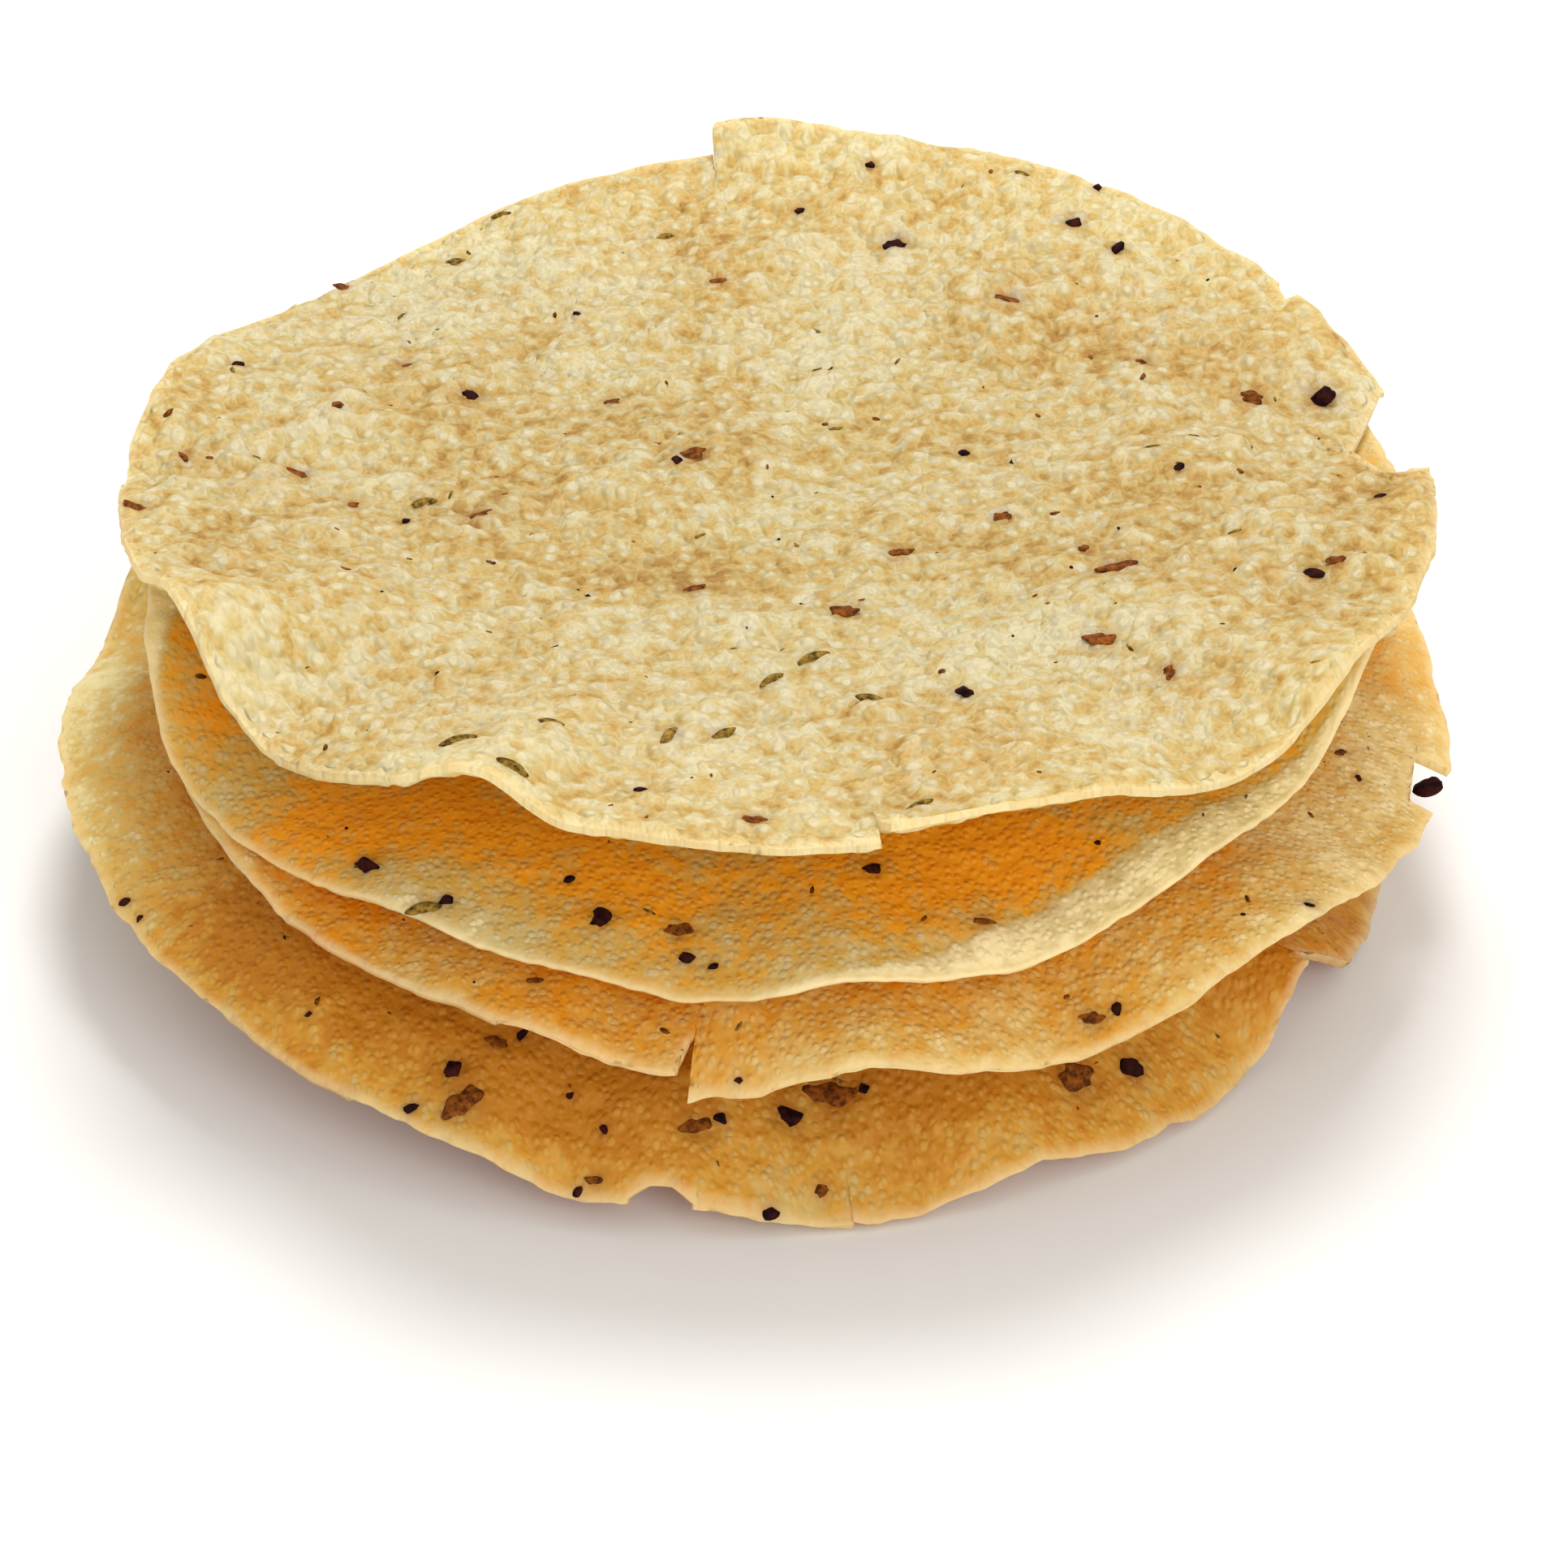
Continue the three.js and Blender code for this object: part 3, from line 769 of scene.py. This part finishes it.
def to_frame(bm):
    """Turns millimetres to metres and puts the stack over the frame's origin."""
    shift = (-OUTLINE_MIDDLE[0], -OUTLINE_MIDDLE[1], 0)
    bmesh.ops.translate(bm, vec=shift, verts=bm.verts[:])
    bmesh.ops.scale(bm, vec=(MM, MM, MM), verts=bm.verts[:])


def finish_piece(bm, name, material, nodes=()):
    """Makes the object of a finished bmesh, attaches it to the body and hides the CAD parts that it
    stands for.
    """
    mesh = bpy.data.meshes.new(name)
    bm.to_mesh(mesh)
    bm.free()
    mesh.shade_smooth()
    mesh.materials.append(material)
    piece = bpy.data.objects.new(name, mesh)
    bpy.context.scene.collection.objects.link(piece)
    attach(piece, BODY)
    if nodes:
        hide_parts(*nodes)
    return piece


def weighted_sum(tree, base, *terms):
    """Adds up sockets, each times its weight, on a base value."""
    total = base
    for value, weight in terms:
        settings = {"operation": "MULTIPLY_ADD"}
        node = add_node(tree, "ShaderNodeMath", settings, _0=value, _1=weight, _2=total)
        total = node.outputs[0]
    return total


def attribute(tree, name):
    return add_node(tree, "ShaderNodeAttribute", {"attribute_name": name}).outputs["Fac"]


def blend(tree, share, first, second):
    """Mixes two colours, each a hex string or a socket."""
    first, second = (linear(c) if isinstance(c, str) else c for c in (first, second))
    settings = {"data_type": "RGBA"}
    return add_node(tree, "ShaderNodeMix", settings, _0=share, _6=first, _7=second).outputs[2]


def add_ramp(tree, share, stops):
    """A ramp of colours: each stop is a place between 0 and 1 and a hex string."""
    ramp = add_node(tree, "ShaderNodeValToRGB", Fac=share)
    while len(ramp.color_ramp.elements) < len(stops):
        ramp.color_ramp.elements.new(0.5)
    for element, (place, colour) in zip(ramp.color_ramp.elements, stops):
        element.position = place
        element.color = linear(colour)
    return ramp.outputs["Color"]


# How much of the light that meets the dough goes into it.
GLOW = 0.5
# Widths in millimetres of the clouds of browning, and of the lumps and pits of the fried dough.
CLOUD = 25
LUMP = 2.6
# The colours of the halo round spice and of the painted highlight on the thin rim, and how much the rim
# shows it.
STAIN_COLOUR = "#A05E24"
RIM_HIGHLIGHT_COLOUR = "#F4E2AE"
RIM_HIGHLIGHT_SHARE = 0.7
# Where each of the four tones of the dough stands between pale and browned.
TONE_PLACES = (0.0, 0.35, 0.7, 1.0)


def dough_material(name, bubble, raised, speckled, tones):
    """Fried lentil dough: dry, thin and blistered, so that light glows amber through it. It is cream on
    the blisters and golden between them, partly painted shade in the hollows, with painted shade where
    another papadum shades it, painted light on bands of the rim, rusty halos round the spice and a
    painted highlight on the thin rim."""
    material, tree = new_material(name)
    place = add_node(tree, "ShaderNodeTexCoord").outputs["Object"]

    rim = attribute(tree, "rim")

    clouds = add_node(
        tree, "ShaderNodeTexNoise", {"noise_dimensions": "2D"}, Vector=place,
        Scale=1 / (CLOUD * MM), Detail=3.0,
    ).outputs["Fac"]
    lumps = add_node(
        tree, "ShaderNodeTexNoise", {"noise_dimensions": "2D"}, Vector=place,
        Scale=1 / (LUMP * MM), Detail=2.0, Roughness=0.6,
    ).outputs["Fac"]
    # Small round bubbles of uneven size, each a dome on the ground between them, and none on the
    # rim. Real ones are half as wide, and are drawn as coarse as they need to be to show.
    cells = add_node(
        tree, "ShaderNodeTexVoronoi", {"voronoi_dimensions": "2D"}, Vector=place,
        Scale=1 / (bubble * MM),
    )
    away = weighted_sum(tree, -0.25, (cells.outputs["Distance"], 1.0), (lumps, 0.5), (rim, 0.8))
    bubbles = add_node(
        tree, "ShaderNodeMapRange", {"interpolation_type": "SMOOTHSTEP"}, Value=away,
        From_Min=0.05, From_Max=0.45, To_Min=1.0, To_Max=0.0,
    ).outputs["Result"]

    # The tone adds up the browning attribute, which carries painted shade and painted light, with
    # clouds, lumps and bubbles; the ground between the bubbles is darker, partly the dough's own colour
    # and partly painted shade in the hollows.
    tone_with_painted_light = weighted_sum(
        tree, attribute(tree, "browning_and_painted_light"),
        (clouds, 1.0), (lumps, speckled), (bubbles, -0.2 * speckled),
    )
    colour = add_ramp(tree, tone_with_painted_light, list(zip(TONE_PLACES, tones)))
    colour = blend(tree, attribute(tree, "stain"), colour, STAIN_COLOUR)
    # Painted highlight along the thin rim.
    colour = blend(tree, weighted_sum(tree, 0.0, (rim, RIM_HIGHLIGHT_SHARE)), colour, RIM_HIGHLIGHT_COLOUR)

    height = weighted_sum(tree, 0.0, (bubbles, 0.5), (lumps, 1.5))
    bump = add_node(tree, "ShaderNodeBump", Height=height, Strength=1.0, Distance=raised * MM)
    surface = add_node(
        tree, "ShaderNodeBsdfPrincipled", Base_Color=colour, Roughness=0.55, IOR=1.45,
        Normal=bump.outputs["Normal"],
    )
    glow = add_node(
        tree, "ShaderNodeBsdfTranslucent", Color=colour, Normal=bump.outputs["Normal"]
    )
    both = add_node(
        tree, "ShaderNodeMixShader", _0=GLOW, _1=surface.outputs["BSDF"], _2=glow.outputs["BSDF"]
    )
    add_node(tree, "ShaderNodeOutputMaterial", Surface=both.outputs["Shader"])
    return material


# The name of each papadum's dough, the spacing and height of its bubbles in millimetres, how strong its
# speckles are (partly painted shade in the hollows between bubbles), and its tones from pale to
# browned; the deeper tones also carry the painted shade under the papadum above.
DOUGHS = {
    "papadum_top": dict(
        name="Fried urad dough, pale", bubble=2.8, raised=1.0, speckled=1.6,
        tones=("#E7DFB8", "#DECD92", "#D6B668", "#BC9142"),
    ),
    "papadum_second": dict(
        name="Fried urad dough, golden", bubble=1.3, raised=0.4, speckled=0.8,
        tones=("#FFF6C8", "#DDCF96", "#E2BC5A", "#F8B01A"),
    ),
    "papadum_third": dict(
        name="Fried urad dough, tan", bubble=1.3, raised=0.4, speckled=0.8,
        tones=("#FFF2BC", "#ECD181", "#EAB74A", "#F2AA1A"),
    ),
    "papadum_bottom": dict(
        name="Fried urad dough, amber", bubble=1.4, raised=0.4, speckled=0.8,
        tones=("#F3EBB8", "#E2C876", "#E6B13F", "#D7931F"),
    ),
}


class PAPADUM_OT_dough(bpy.types.Operator):
    """Builds the four fried discs"""

    bl_idname = "papadum.dough"
    bl_label = "Papadums"

    def execute(self, context):
        dough = context.scene.papadum_dough
        for index, sheet in enumerate(SHEETS):
            bm = build_dough(index, dough)
            to_frame(bm)
            node = sheet["node"]
            material = dough_material(**DOUGHS[node])
            finish_piece(bm, node + "_crisp", material, [node])
        return {"FINISHED"}


def spice_material(name, dark, light, roughness, grain_mm):
    """Dried spice: two close tones in a fine grain, hardly shiny."""
    material, tree = new_material(name)
    place = add_node(tree, "ShaderNodeTexCoord").outputs["Object"]
    grain = add_node(
        tree, "ShaderNodeTexNoise", Vector=place, Scale=1 / (grain_mm * MM), Detail=3.0,
        Roughness=0.6,
    ).outputs["Fac"]
    share = add_node(
        tree, "ShaderNodeMapRange", Value=grain,
        From_Min=0.38, From_Max=0.66, To_Min=0.0, To_Max=1.0,
    )
    colour = blend(tree, share.outputs["Result"], dark, light)
    bump = add_node(tree, "ShaderNodeBump", Height=grain, Strength=0.5, Distance=0.15 * MM)
    surface = add_node(
        tree, "ShaderNodeBsdfPrincipled", Base_Color=colour, Roughness=roughness,
        Normal=bump.outputs["Normal"], Specular_IOR_Level=0.04,
    )
    add_node(tree, "ShaderNodeOutputMaterial", Surface=surface.outputs["BSDF"])
    return material


def shape_pepper(verts, random_source):
    """Cracked peppercorn: a wrinkled lump with a few flat broken faces."""
    offset = Vector([random_source.uniform(0, 50) for _ in range(3)])
    for vert in verts:
        vert.co *= 1 + 0.3 * noise.noise(vert.co * 1.9 + offset)
    for _ in range(6):
        direction = Vector([random_source.uniform(-1, 1) for _ in range(3)]).normalized()
        level = random_source.uniform(0.5, 0.8)
        for vert in verts:
            over = vert.co.dot(direction) - level
            if over > 0:
                vert.co -= direction * over
    for vert in verts:
        vert.co *= random_source.uniform(0.97, 1.03)


def shape_cumin(verts, random_source):
    """Cumin seed: tapered, slightly bent and ribbed lengthwise."""
    bend = random_source.uniform(0.1, 0.3)
    for vert in verts:
        around = math.atan2(vert.co.z, vert.co.y)
        rib = 1 + 0.12 * math.cos(6 * around)
        taper = 1 - 0.35 * vert.co.x ** 2
        vert.co.y = vert.co.y * rib * taper + bend * (1 - vert.co.x ** 2)
        vert.co.z *= rib * taper


def shape_chilli(verts, random_source):
    """Chilli flake: a flat scrap with a ragged outline, curled up at one side."""
    phase = [random_source.uniform(0, 6.28) for _ in range(3)]
    for vert in verts:
        around = math.atan2(vert.co.y, vert.co.x)
        ragged = 1 + 0.22 * math.sin(2 * around + phase[0])
        ragged += 0.14 * math.sin(5 * around + phase[1])
        vert.co.x *= ragged
        vert.co.y *= ragged
        vert.co.z += 0.5 * vert.co.x ** 2


# Each kind: proportions, share of its height over the dough, shaping, halo in the dough (reach as a
# share of its length, and strength), and how often it is drawn as a crumb. look is the name, the
# dark and light tones, the roughness, and the width of the grain in millimetres: pepper is nearly
# black and cracked, cumin olive brown, and fried chilli rust brown.
SPICE_KINDS = {
    "pepper": dict(
        proportions=(1.0, 0.8, 0.62), proud=0.34, shape=shape_pepper, halo=(0.55, 0.5),
        crumbs=0.16, piece="black_pepper", slot="black_pepper",
        look=("Cracked black pepper", "#12070A", "#38140E", 0.75, 1.2),
    ),
    "cumin": dict(
        proportions=(1.0, 0.34, 0.28), proud=0.4, shape=shape_cumin, halo=(0.35, 0.2),
        crumbs=0.34, piece="cumin_seeds", slot="cumin_seed",
        look=("Cumin seed", "#3E2A0C", "#94742E", 0.6, 0.8),
    ),
    "chilli": dict(
        proportions=(1.0, 0.62, 0.2), proud=0.35, shape=shape_chilli, halo=(0.55, 0.5),
        crumbs=0.5, piece="chilli_flakes", slot="chilli_flake",
        look=("Fried chilli flake", "#42200A", "#844812", 0.65, 0.9),
    ),
}
# Crumbs lie up to this share of the way out, and those of cumin are longer by this factor.
CRUMB_REACH = 0.975
CUMIN_CRUMB = 1.5
# A seat is looked for from this far above the dough and over this distance, in millimetres, and
# is left out where the dough is steeper than this upward share of its normal.
SEAT_ABOVE = 5
SEAT_SEARCH = 9
STEEPEST_SEAT = 0.3
# How finely bits are rounded: the large ones, those under a length in millimetres, and crumbs.
LARGE_ROUNDNESS = 3
SMALL_ROUNDNESS = 2
SMALL_LENGTH = 2.5
CRUMB_ROUNDNESS = 1
# The starts of the random draws.
SPICE_SEED = 7
NOTCH_SEED = 3


def dough_tree(sheet):
    """A search tree of a finished papadum, for seating spice on it."""
    piece = bpy.data.objects[sheet["node"] + "_crisp"]
    return BVHTree.FromPolygons(
        [vert.co.copy() for vert in piece.data.vertices],
        [list(polygon.vertices) for polygon in piece.data.polygons],
    )


def frame_place(x, y, z):
    """A place in the papadums' millimetres, in the frame's metres."""
    return Vector((x - OUTLINE_MIDDLE[0], y - OUTLINE_MIDDLE[1], z)) * MM


def seat_of(sheet, tree, x, y):
    """Where spice sits: the point on the papadum's upper face and its slope there."""
    share, angle = polar_of(sheet, np.array([x]), np.array([y]))
    height = float(height_at(sheet, np.array([x]), np.array([y]), share, angle)[0])
    start = frame_place(x, y, height + SEAT_ABOVE)
    point, normal, _, _ = tree.ray_cast(start, Vector((0, 0, -1)), SEAT_SEARCH * MM)
    return point, normal


def crumbs_of(sheet, random_source, spice):
    """Fine bits drawn evenly over a papadum, with more cumin and chilli than pepper."""
    kinds = list(SPICE_KINDS)
    often = [SPICE_KINDS[kind]["crumbs"] for kind in kinds]
    crumbs = []
    for _ in range(spice.crumbs):
        share = math.sqrt(random_source.random()) * CRUMB_REACH
        angle = random_source.uniform(-180, 180)
        kind = random_source.choices(kinds, often)[0]
        turn = random_source.uniform(0, 180)
        spread = random_source.random() ** 2
        length = spice.smallest_crumb + (spice.largest_crumb - spice.smallest_crumb) * spread
        if kind == "cumin":
            length *= CUMIN_CRUMB
        distance = share * float(whole_radius(sheet, angle))
        x = sheet["centre"][0] + distance * math.cos(math.radians(angle))
        y = sheet["centre"][1] + distance * math.sin(math.radians(angle))
        crumbs.append((kind, x, y, turn, length))
    return crumbs


def add_bit(bm, kind, roundness, random_source, matrix):
    """Shapes one bit of spice from a ball, places it and adds it to a mesh."""
    bit = bmesh.new()
    bmesh.ops.create_icosphere(bit, subdivisions=roundness, radius=1)
    SPICE_KINDS[kind]["shape"](bit.verts[:], random_source)
    bmesh.ops.transform(bit, matrix=matrix, verts=bit.verts[:])
    mesh = bpy.data.meshes.new("bit")
    bit.to_mesh(mesh)
    bit.free()
    bm.from_mesh(mesh)
    bpy.data.meshes.remove(mesh)


def lying_on(kind, point, normal, turn, length):
    """The matrix that lays a bit of spice on the dough, sunk into it."""
    facts = SPICE_KINDS[kind]
    half = [value * length / 2 * MM for value in facts["proportions"]]
    rotation = Vector((0, 0, 1)).rotation_difference(normal).to_matrix().to_4x4()
    sink = half[2] * (1 - 2 * facts["proud"])
    return (
        Matrix.Translation(point - normal * sink) @ rotation
        @ Matrix.Rotation(math.radians(turn), 4, "Z") @ Matrix.Diagonal((*half, 1))
    )


def build_spice(wanted, spice):
    """All the bits of one kind, on all four papadums."""
    bm = bmesh.new()
    random_source = random.Random(SPICE_SEED)
    for sheet in SHEETS:
        tree = dough_tree(sheet)
        placed = []
        for entry in SPICES[sheet["node"]]:
            small = entry[-1] < SMALL_LENGTH
            placed.append((entry, SMALL_ROUNDNESS if small else LARGE_ROUNDNESS))
        for entry in crumbs_of(sheet, random_source, spice):
            placed.append((entry, CRUMB_ROUNDNESS))
        for (kind, x, y, turn, length), roundness in placed:
            if kind != wanted:
                continue
            point, normal = seat_of(sheet, tree, x, y)
            if point is not None and normal.z > STEEPEST_SEAT:
                matrix = lying_on(kind, point, normal, turn, length)
                add_bit(bm, kind, roundness, random_source, matrix)
    return bm


def finish_spice(bm, kind):
    facts = SPICE_KINDS[kind]
    finish_piece(bm, facts["piece"], spice_material(*facts["look"]))


class PAPADUM_OT_pepper(bpy.types.Operator):
    """Scatters cracked black pepper"""

    bl_idname = "papadum.pepper"
    bl_label = "Black pepper"

    def execute(self, context):
        bm = build_spice("pepper", context.scene.papadum_spice)
        half = Vector(NOTCH_PEPPER_SIZE) * MM / 2
        matrix = Matrix.Translation(frame_place(*NOTCH_PEPPER)) @ Matrix.Diagonal((*half, 1))
        add_bit(bm, "pepper", LARGE_ROUNDNESS, random.Random(NOTCH_SEED), matrix)
        finish_spice(bm, "pepper")
        return {"FINISHED"}


class PAPADUM_OT_cumin(bpy.types.Operator):
    """Scatters cumin seeds"""

    bl_idname = "papadum.cumin"
    bl_label = "Cumin"

    def execute(self, context):
        bm = build_spice("cumin", context.scene.papadum_spice)
        finish_spice(bm, "cumin")
        return {"FINISHED"}


class PAPADUM_OT_chilli(bpy.types.Operator):
    """Scatters chilli flakes"""

    bl_idname = "papadum.chilli"
    bl_label = "Chilli flakes"

    def execute(self, context):
        bm = build_spice("chilli", context.scene.papadum_spice)
        finish_spice(bm, "chilli")
        return {"FINISHED"}


# The camera looks at this point of the stack, in millimetres over the origin, with a long lens.
LOOK_AT = (0.2, -2.7, 23.5)
LENS = 133.2
SHIFT = (0.0186, -0.0549)

# The floor's width, and the places and widths of the two round lamps, in metres.
FLOOR_SIZE = 4.0
KEY_PLACE = (0.03, 0.46, 1.02)
KEY_SIZE = 0.45
FILL_PLACE = (0.35, -1.0, 0.5)
FILL_SIZE = 0.8
# The camera sees this far, in metres.
FARTHEST = 20


class PAPADUM_OT_stage(bpy.types.Operator):
    """Sets the floor, the light and the camera"""

    bl_idname = "papadum.stage"
    bl_label = "Stage"

    def execute(self, context):
        stage = context.scene.papadum_stage
        self.add_camera(context, stage)
        self.add_floor(context, stage)
        self.add_light(context, stage)
        return {"FINISHED"}

    def add_camera(self, context, stage):
        data = bpy.data.cameras.new("Camera")
        data.lens = LENS
        data.shift_x, data.shift_y = SHIFT
        data.clip_end = FARTHEST
        camera = bpy.data.objects.new("Camera", data)
        context.scene.collection.objects.link(camera)
        down = math.radians(stage.elevation)
        back = Vector((0, -math.cos(down), math.sin(down)))
        camera.location = Vector(LOOK_AT) * MM + back * stage.distance
        camera.rotation_euler = (-back).to_track_quat("-Z", "Y").to_euler()
        context.scene.camera = camera

    def add_floor(self, context, stage):
        bm = bmesh.new()
        bmesh.ops.create_grid(bm, x_segments=2, y_segments=2, size=FLOOR_SIZE / 2)
        mesh = bpy.data.meshes.new("floor")
        bm.to_mesh(mesh)
        bm.free()
        material, tree = new_material("Matt white board")
        surface = add_node(tree, "ShaderNodeBsdfPrincipled", Roughness=0.9)
        surface.inputs["Base Color"].default_value = (*stage.floor_colour, 1)
        surface.inputs["Specular IOR Level"].default_value = 0.1
        add_node(tree, "ShaderNodeOutputMaterial", Surface=surface.outputs["BSDF"])
        mesh.materials.append(material)
        floor = bpy.data.objects.new("floor", mesh)
        context.scene.collection.objects.link(floor)

    def add_light(self, context, stage):
        world = bpy.data.worlds.new("Studio")
        world.use_nodes = True
        background = world.node_tree.nodes["Background"]
        background.inputs["Color"].default_value = (1, 1, 1, 1)
        background.inputs["Strength"].default_value = stage.sky
        context.scene.world = world
        self.add_lamp(context, "Key", KEY_PLACE, KEY_SIZE, stage.key)
        self.add_lamp(context, "Fill", FILL_PLACE, FILL_SIZE, stage.fill)
        context.scene.view_settings.view_transform = "Standard"

    def add_lamp(self, context, name, place, size, power):
        data = bpy.data.lights.new(name, "AREA")
        data.shape = "DISK"
        data.size = size
        data.energy = power
        lamp = bpy.data.objects.new(name, data)
        context.scene.collection.objects.link(lamp)
        lamp.location = place
        lamp.rotation_euler = (-lamp.location).to_track_quat("-Z", "Y").to_euler()


OPERATORS = [
    PAPADUM_OT_dough, PAPADUM_OT_pepper, PAPADUM_OT_cumin, PAPADUM_OT_chilli, PAPADUM_OT_stage,
]


class PAPADUM_PT_panel(bpy.types.Panel):
    """Lists the settings and steps of the stack"""

    bl_idname = "PAPADUM_PT_panel"
    bl_label = "Papadums"
    bl_space_type = "VIEW_3D"
    bl_region_type = "UI"
    bl_category = "Papadums"

    def draw(self, context):
        for group in (
            context.scene.papadum_dough, context.scene.papadum_spice, context.scene.papadum_stage
        ):
            box = self.layout.box()
            for name in group.__annotations__:
                box.prop(group, name)
        for operator in OPERATORS:
            self.layout.operator(operator.bl_idname)


CLASSES = [DoughSettings, SpiceSettings, StageSettings, *OPERATORS, PAPADUM_PT_panel]


def register():
    for cls in CLASSES:
        bpy.utils.register_class(cls)
    bpy.types.Scene.papadum_dough = PointerProperty(type=DoughSettings)
    bpy.types.Scene.papadum_spice = PointerProperty(type=SpiceSettings)
    bpy.types.Scene.papadum_stage = PointerProperty(type=StageSettings)


def unregister():
    del bpy.types.Scene.papadum_dough
    del bpy.types.Scene.papadum_spice
    del bpy.types.Scene.papadum_stage
    for cls in reversed(CLASSES):
        bpy.utils.unregister_class(cls)


def main():
    register()
    bpy.ops.papadum.dough()
    bpy.ops.papadum.pepper()
    bpy.ops.papadum.cumin()
    bpy.ops.papadum.chilli()
    bpy.ops.papadum.stage()


if __name__ == "__main__":
    main()
